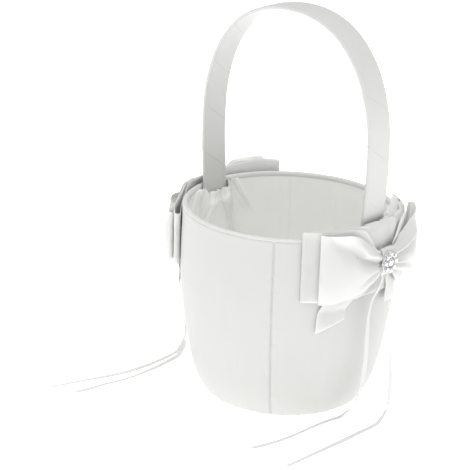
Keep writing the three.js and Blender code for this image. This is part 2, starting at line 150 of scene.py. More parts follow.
def slab(name, P, t, mat, uv=None, N=None, closed_u=False, flip=False, round_edge=True):
    """A sheet with thickness t from its middle surface P (nu x nv x 3): both faces and its edges."""
    nu, nv = P.shape[:2]
    if N is None:
        N = grid_normals(P, closed_u)
    if flip:
        N = -N
    top, bot = P + N * t / 2, P - N * t / 2
    if uv is None:
        du = np.concatenate([[0], np.cumsum(np.linalg.norm(np.diff(P[:, nv // 2], axis=0), axis=1))])
        dv = np.concatenate([[0], np.cumsum(np.linalg.norm(np.diff(P[nu // 2], axis=0), axis=1))])
        uv = np.stack(np.meshgrid(du, dv, indexing="ij"), 2)
    verts = [top.reshape(-1, 3), bot.reshape(-1, 3)]
    uvs = [uv.reshape(-1, 2), uv.reshape(-1, 2)]
    faces = []
    K = nu * nv
    iu = nu if closed_u else nu - 1
    I, J = np.meshgrid(np.arange(iu), np.arange(nv - 1), indexing="ij")
    a = (I * nv + J).ravel()
    b = (((I + 1) % nu) * nv + J).ravel()
    c = (((I + 1) % nu) * nv + J + 1).ravel()
    d = (I * nv + J + 1).ravel()
    q = np.stack([a, b, c, d], 1)
    if flip:
        q = q[:, ::-1]
    faces += q.tolist()
    faces += (q[:, ::-1] + K).tolist()
    ring = []
    if closed_u:
        loops = [[i * nv for i in range(nu)], [i * nv + nv - 1 for i in range(nu)][::-1]]
    else:
        loops = [[j for j in range(nv)] + [i * nv + nv - 1 for i in range(1, nu)] + [(nu - 1) * nv + j for j in range(nv - 2, -1, -1)] + [i * nv for i in range(nu - 2, 0, -1)]]
    base = 2 * K
    extra_v, extra_uv = [], []
    Pf, uvf = P.reshape(-1, 3), uv.reshape(-1, 2)
    for lp in loops:
        m = len(lp)
        if round_edge:
            # one extra loop pushed outwards rounds the cut edge
            mid = Pf[lp]
            prev, nxt = np.roll(mid, 1, 0), np.roll(mid, -1, 0)
            tan = nxt - prev
            tan /= np.maximum(np.linalg.norm(tan, axis=1, keepdims=True), 1e-9)
            nn = N.reshape(-1, 3)[lp]
            out = np.cross(nn, tan)
            if closed_u:
                inner = Pf[[k + 1 if k % nv == 0 else k - 1 for k in lp]]
                sgn = np.sign(((mid - inner) * out).sum(1, keepdims=True))
                out = out * sgn
            else:
                cen = P[nu // 2, nv // 2]
                inner = []
                for k in lp:
                    i, j = divmod(k, nv)
                    inner.append(P[min(max(i, 1), nu - 2), min(max(j, 1), nv - 2)])
                sgn = np.sign(((mid - np.array(inner)) * out).sum(1, keepdims=True))
                sgn[sgn == 0] = 1
                out = out * sgn
            extra_v.append(mid + out * t * 0.32)
            extra_uv.append(uvf[lp])
            e = [base + k for k in range(m)]
            base += m
            for k in range(m):
                k2 = (k + 1) % m
                f1 = [lp[k2], lp[k], e[k], e[k2]]
                f2 = [e[k2], e[k], lp[k] + K, lp[k2] + K]
                ring += [f1, f2]
        else:
            for k in range(m):
                k2 = (k + 1) % m
                ring.append([lp[k2], lp[k], lp[k] + K, lp[k2] + K])
    if flip:
        ring = [f[::-1] for f in ring]
    verts = np.vstack(verts + extra_v)
    uvs = np.vstack(uvs + extra_uv)
    ob = make(name, verts, faces + ring, uvs, mat)
    return ob


def fix_normals(ob):
    import bmesh
    bm = bmesh.new()
    bm.from_mesh(ob.data)
    bmesh.ops.recalc_face_normals(bm, faces=bm.faces)
    bm.to_mesh(ob.data)
    bm.free()
    return ob


def put(ob, slot_name, *nodes):
    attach(ob, "root")
    if nodes:
        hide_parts(*nodes)
    return ob


# ------------------------------------------------------------------ materials
def new_mat(name):
    m = bpy.data.materials.new(name)
    m.use_nodes = True
    nt = m.node_tree
    for n in list(nt.nodes):
        nt.nodes.remove(n)
    out = nt.nodes.new("ShaderNodeOutputMaterial")
    bs = nt.nodes.new("ShaderNodeBsdfPrincipled")
    nt.links.new(bs.outputs[0], out.inputs[0])
    return m, nt, bs


def node(nt, kind, **kw):
    n = nt.nodes.new(kind)
    for k, v in kw.items():
        if k in ("ins",):
            for a, b in v.items():
                n.inputs[a].default_value = b
        else:
            setattr(n, k, v)
    return n


def satin(name, base=(0.87, 0.868, 0.852), rough=0.4, thread=0.32, across=False, crinkle=0.35, sheen=0.12, bump=1.0, tint=0.03, through=0.0):
    """Satin from its thread: long floats along one way, fine ridges, slubs, soft crinkles."""
    m, nt, bs = new_mat(name)
    L = nt.links.new
    tc = node(nt, "ShaderNodeTexCoord")
    mm = node(nt, "ShaderNodeMapping")
    mm.inputs["Scale"].default_value = (1000, 1000, 1000)
    if across:
        mm.inputs["Rotation"].default_value = (0, 0, math.pi / 2)
    L(tc.outputs["UV"], mm.inputs["Vector"])
    wave = node(nt, "ShaderNodeTexWave", wave_type="BANDS", bands_direction="X", ins={"Scale": 0.314 / thread, "Distortion": 0.6, "Detail": 1.0, "Detail Scale": 0.6})
    L(mm.outputs[0], wave.inputs["Vector"])
    st = node(nt, "ShaderNodeMapping")
    st.inputs["Scale"].default_value = (2.6, 0.12, 1)
    L(mm.outputs[0], st.inputs["Vector"])
    slub = node(nt, "ShaderNodeTexNoise", ins={"Scale": 1.0, "Detail": 4.0, "Roughness": 0.6})
    L(st.outputs[0], slub.inputs["Vector"])
    tw = node(nt, "ShaderNodeMapping")
    tw.inputs["Scale"].default_value = (0.5, 3.2, 1)
    L(mm.outputs[0], tw.inputs["Vector"])
    weft = node(nt, "ShaderNodeTexNoise", ins={"Scale": 1.0, "Detail": 2.0, "Roughness": 0.5})
    L(tw.outputs[0], weft.inputs["Vector"])
    soft = node(nt, "ShaderNodeTexNoise", ins={"Scale": 55.0, "Detail": 3.0, "Roughness": 0.55})
    L(tc.outputs["Object"], soft.inputs["Vector"])
    b1 = node(nt, "ShaderNodeBump", ins={"Strength": 0.5 * bump, "Distance": 0.00004})
    L(wave.outputs["Fac"], b1.inputs["Height"])
    b2 = node(nt, "ShaderNodeBump", ins={"Strength": 0.55 * bump, "Distance": 0.00009})
    L(slub.outputs["Fac"], b2.inputs["Height"])
    L(b1.outputs[0], b2.inputs["Normal"])
    b3 = node(nt, "ShaderNodeBump", ins={"Strength": 0.35 * bump, "Distance": 0.00005})
    L(weft.outputs["Fac"], b3.inputs["Height"])
    L(b2.outputs[0], b3.inputs["Normal"])
    b4 = node(nt, "ShaderNodeBump", ins={"Strength": crinkle, "Distance": 0.0009})
    L(soft.outputs["Fac"], b4.inputs["Height"])
    L(b3.outputs[0], b4.inputs["Normal"])
    L(b4.outputs[0], bs.inputs["Normal"])
    # colour: a trace darker and warmer along the slubs and in slow patches
    mix = node(nt, "ShaderNodeMix", data_type="RGBA")
    mix.inputs["A"].default_value = (*base, 1)
    mix.inputs["B"].default_value = (base[0] * (1 - tint), base[1] * (1 - tint * 1.05), base[2] * (1 - tint * 1.9), 1)
    L(slub.outputs["Fac"], mix.inputs["Factor"])
    mix2 = node(nt, "ShaderNodeMix", data_type="RGBA")
    mix2.inputs["B"].default_value = (base[0] * 0.975, base[1] * 0.975, base[2] * 0.95, 1)
    L(mix.outputs["Result"], mix2.inputs["A"])
    L(soft.outputs["Fac"], mix2.inputs["Factor"])
    L(mix2.outputs["Result"], bs.inputs["Base Color"])
    rr = node(nt, "ShaderNodeMapRange", ins={"From Min": 0.3, "From Max": 0.7, "To Min": rough - 0.05, "To Max": rough + 0.06})
    L(slub.outputs["Fac"], rr.inputs["Value"])
    L(rr.outputs[0], bs.inputs["Roughness"])
    bs.inputs["Sheen Weight"].default_value = sheen
    bs.inputs["Sheen Roughness"].default_value = 0.35
    bs.inputs["Specular IOR Level"].default_value = 0.45
    bs.inputs["Anisotropic"].default_value = 0.35
    if through:
        # thin white cloth lets some light through
        bs.inputs["Subsurface Weight"].default_value = through
        bs.inputs["Subsurface Radius"].default_value = (1.0, 1.0, 0.95)
        bs.inputs["Subsurface Scale"].default_value = 0.0022
    return m


def plain(name, base, rough, metal=0.0, grain=0.0, scale=400.0):
    m, nt, bs = new_mat(name)
    L = nt.links.new
    tc = node(nt, "ShaderNodeTexCoord")
    nz = node(nt, "ShaderNodeTexNoise", ins={"Scale": scale, "Detail": 4.0, "Roughness": 0.6})
    L(tc.outputs["Object"], nz.inputs["Vector"])
    mix = node(nt, "ShaderNodeMix", data_type="RGBA")
    mix.inputs["A"].default_value = (*base, 1)
    mix.inputs["B"].default_value = (base[0] * 0.93, base[1] * 0.93, base[2] * 0.92, 1)
    L(nz.outputs["Fac"], mix.inputs["Factor"])
    L(mix.outputs["Result"], bs.inputs["Base Color"])
    rr = node(nt, "ShaderNodeMapRange", ins={"To Min": max(rough - 0.08, 0.02), "To Max": rough + 0.08})
    L(nz.outputs["Fac"], rr.inputs["Value"])
    L(rr.outputs[0], bs.inputs["Roughness"])
    if grain:
        b = node(nt, "ShaderNodeBump", ins={"Strength": grain, "Distance": 0.0002})
        L(nz.outputs["Fac"], b.inputs["Height"])
        L(b.outputs[0], bs.inputs["Normal"])
    bs.inputs["Metallic"].default_value = metal
    return m


# painted light and shade: all these parts are the same white satin, but each gets its own base tone so that its
# brightness under these lamps comes out right; the lining is much lighter to lift the shade inside the basket, the
# binding lighter to lift the shade on its inner lip, the cover darker where it gets the most light, and the wrap and
# ribbons are set in between
COVER = satin("satin_cover_mat", base=(0.592, 0.593, 0.588), rough=0.42, thread=0.36, crinkle=0.22)
BINDING = satin("satin_binding_mat", base=(0.70, 0.701, 0.694), rough=0.40, thread=0.36, across=True, crinkle=0.22)
LINING = satin("satin_lining_mat", base=(0.978, 0.979, 0.976), rough=0.48, thread=0.36, crinkle=0.3)
WRAP = satin("satin_wrap_mat", base=(0.632, 0.633, 0.629), rough=0.38, thread=0.34, across=True, crinkle=0.12)
RIBBON = satin("satin_ribbon_mat", base=(0.778, 0.780, 0.770), rough=0.33, thread=0.3, across=True, crinkle=0.12, through=0.62)
THIN = satin("thin_ribbon_mat", base=(0.70, 0.70, 0.694), rough=0.36, thread=0.25, across=True, crinkle=0.05, through=0.25)
CARD = plain("base_card_mat", (0.84, 0.83, 0.8), 0.8, grain=0.5, scale=900)
PLASTIC = plain("bucket_plastic_mat", (0.8, 0.8, 0.78), 0.45, grain=0.15, scale=250)
FOAM = plain("foam_mat", (0.85, 0.85, 0.83), 0.95, grain=1.0, scale=1800)
STEEL = plain("rivet_steel_mat", (0.62, 0.62, 0.63), 0.3, metal=1.0, grain=0.2, scale=700)
SILVER = plain("silver_setting_mat", (0.78, 0.78, 0.79), 0.14, metal=1.0, grain=0.05, scale=600)


def painted_glint_stone_mat():
    """Cut stone with painted reflections: each facet is one tone, bright or deep, chosen by the way it faces, in place
    of the glints and dark reflections of a real stone.
    """
    m, nt, bs = new_mat("clear_stone_mat")
    L = nt.links.new
    geo = node(nt, "ShaderNodeNewGeometry")
    vm = node(nt, "ShaderNodeVectorMath", operation="SCALE")
    vm.inputs["Scale"].default_value = 3.7
    L(geo.outputs["True Normal"], vm.inputs[0])
    # painted reflections: white noise on the snapped facet normal picks each facet's dark or bright tone
    wn = node(nt, "ShaderNodeTexWhiteNoise", noise_dimensions="3D")
    sn = node(nt, "ShaderNodeVectorMath", operation="SNAP")
    sn.inputs[1].default_value = (0.35, 0.35, 0.35)
    L(vm.outputs[0], sn.inputs[0])
    L(sn.outputs[0], wn.inputs["Vector"])
    ramp = node(nt, "ShaderNodeValToRGB")
    e = ramp.color_ramp.elements
    e[0].position, e[0].color = 0.0, (0.02, 0.02, 0.022, 1)
    e[1].position, e[1].color = 1.0, (0.97, 0.98, 1.0, 1)
    x = ramp.color_ramp.elements.new(0.27)
    x.color = (0.16, 0.16, 0.17, 1)
    x = ramp.color_ramp.elements.new(0.40)
    x.color = (0.8, 0.81, 0.83, 1)
    L(wn.outputs["Value"], ramp.inputs["Fac"])
    L(ramp.outputs["Color"], bs.inputs["Base Color"])
    bs.inputs["Metallic"].default_value = 0.35
    bs.inputs["Roughness"].default_value = 0.04
    bs.inputs["Specular IOR Level"].default_value = 1.0
    bs.inputs["Coat Weight"].default_value = 1.0
    bs.inputs["Coat Roughness"].default_value = 0.02
    return m


STONE = painted_glint_stone_mat()

# ------------------------------------------------------------------ thin ribbons, built first
CZ = 1.62
CORDS = {
    "right_outer": [[77.2, 2.1, 99.9], [78.2, 2.2, 92], [79.6, 2.2, 82], [81.6, 2.1, 66], [83.6, 2.0, 50], [85.4, 1.6, 34], [86.3, 0.6, 20], [86.0, -1.6, 9],
                    [84.8, -6.6, 3.0], [83.9, -14, CZ], [83.3, -25.7, CZ], [82.9, -38, CZ], [82.2, -50.8, CZ], [81.4, -63, CZ], [80.6, -75.6, CZ], [79.9, -86, CZ], [79.2, -95.9, CZ]],
    "right_inner": [[77.2, -2.1, 99.6], [77.4, -3.0, 96.6], [78.0, -6.8, 92.3], [77.2, -11.2, 86.5], [76.2, -12.9, 78], [75.9, -13.3, 64], [75.9, -13.3, 48], [74.4, -13.1, 32], [71.2, -12.8, 18],
                    [66.2, -12.8, 7.5], [61.6, -15.4, 2.6], [58.9, -22, CZ], [57.3, -32, CZ], [56.5, -42, CZ], [55.7, -54, CZ], [54.6, -65, CZ], [52.2, -77, CZ], [47.8, -91.2, CZ]],
    "left_outer": [[-77.2, 2.1, 99.9], [-78.3, 2.2, 92], [-80.0, 2.3, 82], [-82.6, 2.4, 64], [-85.2, 2.6, 46], [-87.6, 2.8, 30], [-88.9, 2.4, 16], [-88.6, -0.4, 6.6],
                   [-87.8, -7.0, 2.4], [-87.2, -15, CZ], [-86.5, -30.7, CZ], [-87.0, -43, CZ], [-88.7, -55.5, CZ], [-91.0, -65, CZ], [-94.2, -74.4, CZ], [-101.1, -91.4, CZ], [-107.7, -110.3, CZ]],
    "left_inner": [[-77.2, -2.1, 99.9], [-77.9, -2.3, 92], [-78.8, -2.6, 82], [-80.2, -2.9, 64], [-81.8, -3.0, 46], [-83.2, -3.0, 30], [-83.9, -3.2, 16], [-83.4, -6.0, 6.4],
                   [-82.4, -12.6, 2.3], [-81.4, -22.6, CZ], [-80.2, -37.7, CZ], [-80.2, -50, CZ], [-81.1, -63.7, CZ], [-83.2, -74, CZ], [-85.6, -83.4, CZ], [-87.7, -95.7, CZ], [-90.4, -106.1, CZ]],
}


def thin_ribbon(key, seed):
    line = spline(CORDS[key], 150)
    # the flat ribbon lies just above the table where its round stand-in's middle is low
    line[:, 2] = np.where(line[:, 2] < 4.5, np.maximum(line[:, 2] - 1.62 * sstep(4.5 - line[:, 2], 0, 2.8) + 0.28 + 0.55 * sstep(4.5 - line[:, 2], 0, 2.8), 0.3), line[:, 2])
    L = length_of(line)
    tan = np.gradient(line, axis=0)
    tan /= np.linalg.norm(tan, axis=1, keepdims=True)
    s = np.linspace(0, L, len(line))
    # width direction: along the table when lying, along Y with a lazy twist when hanging
    side = np.cross(tan, np.array([0, 0, 1.0]))
    hang = np.cross(tan, np.array([1.0 if "right" in key else -1.0, 0, 0]))
    w = sstep(line[:, 2], 3, 26)[:, None]
    sgn = np.sign((side[-20] * hang[10]).sum()) or 1.0
    wd = hang * w * sgn + side * (1 - w)
    wd -= tan * (wd * tan).sum(1, keepdims=True)
    wd /= np.maximum(np.linalg.norm(wd, axis=1, keepdims=True), 1e-6)
    tw = 0.5 * np.sin(s / L * 9.0 + seed) * sstep(line[:, 2], 6, 40) * (1 - sstep(line[:, 2], 80, 99)) + 0.16 * np.sin(s / 17.0 + seed * 2.1)
    nn = np.cross(wd, tan)
    wd = wd * np.cos(tw)[:, None] + nn * np.sin(tw)[:, None]
    nn = np.cross(wd, tan)
    half = 1.5
    cols = np.linspace(-1, 1, 7)
    P = np.stack([line + wd * half * c + nn * 0.10 * (c * c) for c in cols], 1)
    # diagonal cut at the free end
    P[-1] += tan[-1] * (cols[:, None] * 1.1)
    ok = P[..., 2] < 0.3
    P[..., 2] = np.where(ok, 0.3, P[..., 2])
    uv = np.stack(np.meshgrid(s, cols * half, indexing="ij"), 2)
    ob = slab(f"thin_ribbon_{key}_satin", P, 0.34, THIN, uv=uv[..., ::1])
    fix_normals(ob)
    put(ob, "thin_ribbon", f"thin_ribbon_{key}")
    return ob


for i, key in enumerate(CORDS):
    thin_ribbon(key, 1.3 * i)

# ------------------------------------------------------------------ body
PROFILE = [[49.6, 0.45], [52.7, 2.6], [55.3, 6.4], [60.2, 16.8], [65.4, 41], [69.9, 72], [70.8, 95], [70.0, 126.2]]
prof = spline(PROFILE, 241)
ptan = np.gradient(prof, axis=0)
ptan /= np.linalg.norm(ptan, axis=1, keepdims=True)
pnor = np.stack([ptan[:, 1], -ptan[:, 0]], 1)
prof_len = length_of(prof)


def rim_tilt(phi):
    """The hand-made rim isn't quite level: a little higher at the left and the back."""
    return 1.15 * np.cos(phi - math.radians(152))


def lifted(P, phi):
    """Follow the rim's tilt near the top."""
    z = P[..., 2]
    P[..., 2] = z + rim_tilt(phi) * sstep(z, 70, 127)
    return P


SEAMS = [-60.0, 30.0, 120.0, 210.0]


def edge_dense(a0, a1, n, power=0.35):
    t = np.linspace(0, 1, n)
    t = t + power * np.sin(2 * math.pi * t) / (2 * math.pi) * -1 * -1 if False else t - power * np.sin(2 * math.pi * t) / (2 * math.pi)
    return a0 + (a1 - a0) * t


def cover_panel(name, a0, a1, seed):
    deg = edge_dense(a0, a1, 96, 0.85)
    phi = np.radians(deg)
    ti = np.concatenate([np.linspace(0, 34, 20, endpoint=False), np.linspace(34, 240, 84)])
    r = np.interp(ti, np.arange(241), prof[:, 0])
    z = np.interp(ti, np.arange(241), prof[:, 1])
    nr = np.interp(ti, np.arange(241), pnor[:, 0])
    nz = np.interp(ti, np.arange(241), pnor[:, 1])
    F, R = np.meshgrid(phi, r, indexing="ij")
    Z = np.broadcast_to(z, F.shape)
    edge = np.minimum(np.radians(deg - a0), np.radians(a1 - deg))[:, None] * R
    d = 0.12 - 0.8 * gauss(edge, 0.72) + 0.20 * gauss(edge - 2.6, 1.6)
    # stitches pull small puckers along the seam
    pull = noise1(Z + 7 * seed, 10 + seed, 9.0)
    d = d + 0.10 * pull * gauss(edge - 2.2, 3.2)
    # slow unevenness of cloth over thin foam
    d = d + 0.20 * ripple(F, Z, 40, ka=(1, 5), kb=(0.01, 0.05)) + 0.07 * ripple(F, Z, 41, ka=(5, 14), kb=(0.02, 0.12))
    # upright soft folds where the cloth is a little slack
    for c, w, amp, z0, z1 in ((-27, 3.4, 0.75, 8, 96), (-100, 7.0, -0.22, 10, 125), (-128, 6.0, 0.25, 20, 110), (75, 6, 0.3, 10, 110), (165, 7, 0.3, 10, 110), (-8, 6, -0.3, 10, 85)):
        x = (np.degrees(F) - c + 180) % 360 - 180
        d = d + amp * gauss(x, w) * sstep(Z, z0, z0 + 18) * (1 - sstep(Z, z1 - 25, z1))
    # two small dents in the front
    for c, zc, wa, wz, amp in ((-84.5, 72, 2.0, 10, -0.62), (-83.0, 38, 1.9, 9, -0.62)):
        x = (np.degrees(F) - c + 180) % 360 - 180
        d = d + amp * gauss(x, wa) * gauss(Z - zc, wz)
    # the cloth is gathered where it turns under the base, and eased into the rim
    low = 1 - sstep(Z, 1.5, 15)
    d = d + 0.16 * low * np.sin(52 * F + 1.3 * np.sin(9 * F)) + 0.06 * low * np.sin(97 * F)
    top = sstep(Z, 112, 126)
    d = d + 0.10 * top * np.sin(46 * F + 1.1 * np.sin(7 * F)) - 0.12 * sstep(Z, 124, 126.2)
    Rr = R + d * nr[None, :] + 0.30 * sstep(Z, 122.5, 126.2)
    Zz = Z + d * nz[None, :] + 1.0 * sstep(Z, 118, 126.2)
    P = np.stack([Rr * np.cos(F), Rr * np.sin(F), Zz], 2)
    P[..., 2] = np.maximum(P[..., 2], 0.42)
    P = lifted(P, F)
    s = np.concatenate([[0], np.cumsum(np.hypot(np.diff(r), np.diff(z)))])
    uv = np.stack([F * 70.0, np.broadcast_to(s, F.shape)], 2)
    N = grid_normals(P)
    if (N[48, 60] * P[48, 60])[:2].sum() < 0:
        N = -N
    ob = slab(name + "_satin", P - N * 0.2, 0.4, COVER, uv=uv, N=N)
    fix_normals(ob)
    put(ob, "satin_cover", name)
    return ob


names = ["cover_panel_front_right", "cover_panel_back_right", "cover_panel_back_left", "cover_panel_front_left"]
for k, nm in enumerate(names):
    cover_panel(nm, SEAMS[k], SEAMS[k] + 90.0, k + 1)

# ---- rim binding: a strip folded over the rim
def foot_limit(phi):
    """Least radius that clears the handle's foot at this angle, or 0."""
    y = 67.0 * np.sin(phi)
    x = 66.35
    lim = x / np.maximum(np.abs(np.cos(phi)), 0.2)
    near = 1 - sstep(np.abs(y), 11.9, 14.2)
    return lim * near


def binding():
    n = 480
    phi = np.linspace(-math.pi, math.pi, n, endpoint=False)
    sec = spline([[70.05, 126.75], [70.2, 127.4], [70.05, 128.15], [69.5, 128.75], [68.7, 129.0], [67.8, 128.85], [67.0, 128.35], [66.58, 127.65], [66.4, 127.0], [66.38, 126.0]], 30)
    F, K = np.meshgrid(phi, np.arange(len(sec)), indexing="ij")
    r = sec[K, 0]
    z = sec[K, 1]
    lim = foot_limit(F)
    inner = sstep(69.4 - r, 0, 2.6)
    r = np.where(lim > 0, r + np.maximum(lim - 66.2, 0) * inner, r)
    d = 0.05 * np.sin(38 * F + 2.0 * np.sin(5 * F) + 0.25 * K) + 0.06 * ripple(F, K * 2.0, 77, ka=(6, 22))
    z = z + d * sstep(z, 126.5, 128.0)
    r = r + d * 0.4
    P = np.stack([r * np.cos(F), r * np.sin(F), z + rim_tilt(F)], 2)
    uvs = np.stack([F * 70, K * 0.45], 2)
    N = grid_normals(P, closed_u=True)
    if N[0, 13, 2] < 0:
        N = -N
    ob = slab("rim_binding_satin", P - N * 0.15, 0.30, BINDING, uv=uvs, N=N, closed_u=True)
    fix_normals(ob)
    put(ob, "satin_cover", "rim_binding")
    return ob


binding()

# ---- lining
def lining_half(name, a0, a1, seed):
    n = 260
    deg = np.linspace(a0, a1, n)
    phi = np.radians(deg)
    zt = np.concatenate([np.linspace(3.4, 12, 8, endpoint=False), np.linspace(12, 76, 46, endpoint=False), np.linspace(76, 126.9, 60)])
    pr = np.interp(zt, prof[:, 1], prof[:, 0])
    base = pr - 3.3 - 1.2 * (1 - sstep(zt, 3, 14))
    F, B = np.meshgrid(phi, base, indexing="ij")
    Z = np.broadcast_to(zt, F.shape).copy()
    a = (np.degrees(F) + 180) % 360 - 180
    edge = np.minimum(np.radians(deg - a0), np.radians(a1 - deg))[:, None] * B
    d = 0.15 + 0.55 * gauss(edge, 0.7) - 0.35 * gauss(edge - 2.4, 1.5)   # positive is away from the axis
    # slack cloth: upright folds of different width, deeper towards the top
    topness = 0.45 + 0.55 * sstep(Z, 30, 120)
    for c, w, amp in ((101, 1.3, -0.45), (98, 6, -0.35), (115, 6, -0.5), (141, 6, -0.6), (156, 3.0, -0.2), (84, 7, -0.5), (66, 6, -0.5), (45, 6, -0.5), (30, 3, -0.4),
                      (-30, 5, -0.5), (-46, 2, -0.4), (-66, 6, -0.6), (-90, 2.0, -0.4), (-104, 6, -0.6), (-125, 5, -0.5), (-147, 3, -0.4)):
        x = (a - c + 180) % 360 - 180
        lean = x + (Z - 60) * 0.012 * math.sin(c * 1.7)
        d = d + amp * gauss(lean, w) * topness * (1 - 0.7 * (1 - sstep(Z, 4, 22)))
    d = d + 0.16 * ripple(F, Z, 60 + seed, ka=(2, 9), kb=(0.02, 0.09))
    # small gathers under the binding
    d = d - 0.16 * (1 + np.sin(64 * F + 2 * np.sin(6 * F))) * 0.5 * sstep(Z, 117, 126)
    eased = sstep(Z, 117.5, 123.0)
    d = d * (1 - eased) + (0.12 - 0.05 * (1 + np.sin(64 * F + 2 * np.sin(6 * F)))) * eased
    # cloth stays inside the moulded wall
    d = 0.28 - np.log1p(np.exp((0.28 - d) * 3.2)) / 3.2
    R = B + d
    # pocket over each foot of the handle
    y = R * np.sin(F)
    ay = np.abs(y)
    plane = np.where(Z > 117, 62.75, 61.75) if False else 61.6 + 1.1 * sstep(Z, 117.5, 122.5)
    puck = 0.55 * np.sin(y * 0.95 + Z * 0.11) * sstep(Z, 92, 118) * (1 - sstep(ay, 12, 17)) * (1 - sstep(Z, 118, 122.5))
    target = (plane - np.abs(puck) * 0.9) / np.maximum(np.abs(np.cos(F)), 0.3)
    w_y = 1 - sstep(ay, 11.9, 15.6)
    w_z = sstep(Z, 66, 84)
    w = w_y * w_z
    Rp = R * (1 - w) + np.minimum(R, target) * w
    # folds fanning down and outwards from beside the foot: two lips with a deep groove between
    near = (np.abs(np.cos(F)) > 0.6)
    wall = np.interp(Z, prof[:, 1], prof[:, 0]) - 3.05
    for y0, z0, k, z_lo, z_hi, g in ((12.9, 129.0, 0.194, 72, 96, 1.0), (2.8, 121.0, 0.44, 80, 94, 0.75), (7.6, 124.0, 0.30, 84, 100, 0.45), (16.0, 129.0, 0.62, 98, 112, 0.8)):
        for sgn in (1, -1):
            off = sgn * y - (y0 + (z0 - Z) * k)
            on = sstep(Z, z_lo, z_hi) * near * g
            Rp = Rp - (2.0 * gauss(off - 2.1, 1.5) + 1.5 * gauss(off + 2.1, 1.4)) * on
            Rp = Rp + np.minimum(0.9 * gauss(off, 0.75) * on, np.maximum(wall - Rp, 0))
    # the pocket's mouth sits lower than the rim, only where the strip comes out
    drop = (1 - sstep(ay, 10.9, 12.7)) * near
    Zs = Z - drop * sstep(Z, 100, 126.6) * 3.6
    # keep inside the foot's inner face
    guard = 62.85 / np.maximum(np.abs(np.cos(F)), 0.3)
    Rp = np.where((ay < 11.8) & (Zs > 80), np.minimum(Rp, guard), Rp)
    P = np.stack([Rp * np.cos(F), Rp * np.sin(F), Zs], 2)
    P = lifted(P, F)
    s = np.concatenate([[0], np.cumsum(np.hypot(np.diff(base), np.diff(zt)))])
    uv = np.stack([F * 66.0, np.broadcast_to(s, F.shape)], 2)
    ob = slab(name + "_satin", P, 0.3, LINING, uv=uv)
    fix_normals(ob)
    put(ob, "satin_lining", name)
    return ob


lining_half("lining_front_right", -52.5, 127.5, 1)
lining_half("lining_back_left", 127.5, 307.5, 2)


def floor_pad():
    nphi, nr = 144, 26
    phi = np.linspace(0, 2 * math.pi, nphi, endpoint=False)
    rr = np.linspace(0.4, 49.0, nr)
    F, R = np.meshgrid(phi, rr, indexing="ij")
    edge = sstep(R, 44.5, 49.0)
    Z = 5.0 - 1.1 * edge + 0.10 * ripple(F, R, 90, ka=(1, 5), kb=(0.05, 0.15)) + 0.12 * np.sin(40 * F + np.sin(5 * F)) * sstep(R, 40, 47)
    top = np.stack([R * np.cos(F), R * np.sin(F), Z], 2)
    bot = np.stack([R * np.cos(F), R * np.sin(F), np.full_like(Z, 3.25)], 2)
    V = np.vstack([top.reshape(-1, 3), bot.reshape(-1, 3), [[0, 0, 5.0]], [[0, 0, 3.25]]])
    K = nphi * nr
    faces = []
    for i in range(nphi):
        j = (i + 1) % nphi
        for k in range(nr - 1):
            faces.append([i * nr + k, i * nr + k + 1, j * nr + k + 1, j * nr + k])
            faces.append([K + i * nr + k, K + j * nr + k, K + j * nr + k + 1, K + i * nr + k + 1])
        faces.append([2 * K, i * nr, j * nr])
        faces.append([2 * K + 1, K + j * nr, K + i * nr])
        faces.append([i * nr + nr - 1, K + i * nr + nr - 1, K + j * nr + nr - 1, j * nr + nr - 1])
    ob = make("lining_floor_satin", V, faces, V[:, :2], LINING)
    fix_normals(ob)
    put(ob, "satin_lining", "lining_floor")


floor_pad()

# ------------------------------------------------------------------ handle: satin ribbon wound round the strip
HT, HW = 2.6, 22.6
SPRING, HALF, TOPZ, AN, FX, FZ = 173.5, 67.0, 260.3, 2.26, 64.55, 84.0


def handle_line():
    fine = 1600
    zz = FZ + (np.arange(fine) + 0.5) * (SPRING - FZ) / fine
    sl = sstep(zz, 119, 136) * (SPRING - zz)
    x = FX + np.concatenate([[0], np.cumsum(sl)]) * (HALF - FX) / sl.sum()
    zl = np.linspace(FZ, SPRING, fine + 1)
    leg = np.stack([x, zl], 1)
    t = np.linspace(0, math.pi, 1601)[1:-1]
    c, s = np.cos(t), np.sin(t)
    arch = np.stack([HALF * np.sign(c) * np.abs(c) ** (2 / AN), SPRING + (TOPZ - HT / 2 - SPRING) * s ** (2 / AN)], 1)
    full = np.vstack([leg, arch, (leg * [-1, 1])[::-1]])[::-1]     # left foot to right foot
    s = np.concatenate([[0], np.cumsum(np.linalg.norm(np.diff(full, axis=0), axis=1))])
    g = np.linspace(0, s[-1], 2400)
    return np.stack([np.interp(g, s, full[:, 0]), np.interp(g, s, full[:, 1])], 1), s[-1]


hline, hlen = handle_line()
htan = np.gradient(hline, axis=0)
htan /= np.linalg.norm(htan, axis=1, keepdims=True)


def at_handle(s):
    f = np.clip(s / hlen, 0, 1) * (len(hline) - 1)
    i = np.arange(len(hline))
    x, z = np.interp(f, i, hline[:, 0]), np.interp(f, i, hline[:, 1])
    tx, tz = np.interp(f, i, htan[:, 0]), np.interp(f, i, htan[:, 1])
    n = np.hypot(tx, tz)
    return x, z, tx / n, tz / n


